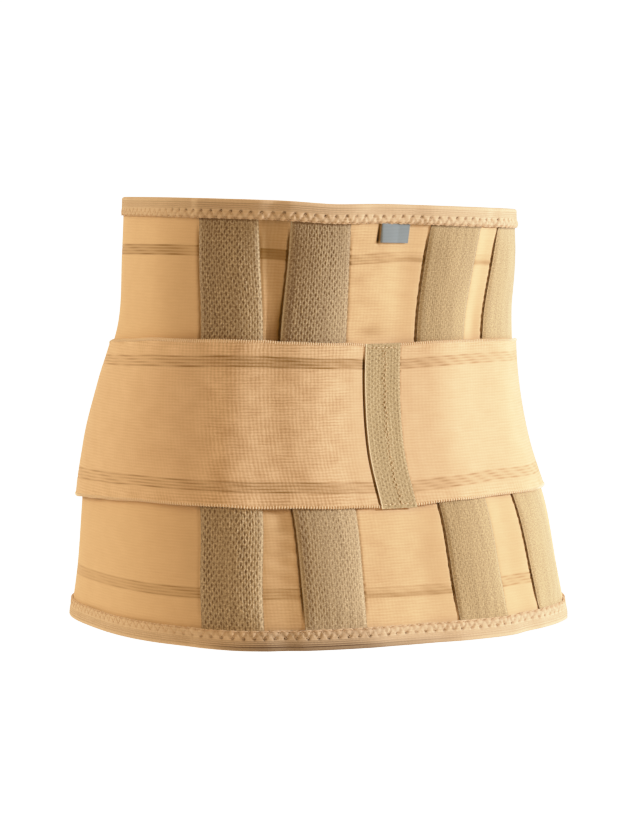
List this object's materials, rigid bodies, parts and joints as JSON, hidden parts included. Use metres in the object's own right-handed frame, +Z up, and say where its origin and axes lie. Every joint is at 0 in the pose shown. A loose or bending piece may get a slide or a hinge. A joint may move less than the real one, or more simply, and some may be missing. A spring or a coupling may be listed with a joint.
{
  "type": "elastic support belt",
  "caption": "Tall elastic back support belt in its worn round form, with bound edges, upright stay channels at the back, an outer pull band and a plain front closure.",
  "frame": {"origin": "on the axis of the waist that the belt goes round, at the mid height of the outer band", "axes": "+Z up along the body, -Y towards the wearer's back, +X towards the wearer's right"},
  "size_m": [0.3211, 0.2696, 0.2768],
  "materials": {
    "elastic": "matt woven elastic, beige",
    "binding": "matt folded elastic tape, beige",
    "channel_tape": "coarse woven tape, tan",
    "band_elastic": "fine ribbed elastic, beige",
    "strip_tape": "coarse woven tape, tan",
    "label_cloth": "smooth woven cloth, grey",
    "velour": "short looped pile, beige"
  },
  "bodies": {
    "root": {"belt_body": "elastic", "top_binding": "binding", "bottom_binding": "binding", "stay_channel_left_outer": "channel_tape", "stay_channel_left_inner": "channel_tape", "stay_channel_right_inner": "channel_tape", "stay_channel_right_outer": "channel_tape", "outer_band": "band_elastic", "centre_strip": "strip_tape", "label": "label_cloth", "front_closure": "velour"}
  },
  "joints": []
}
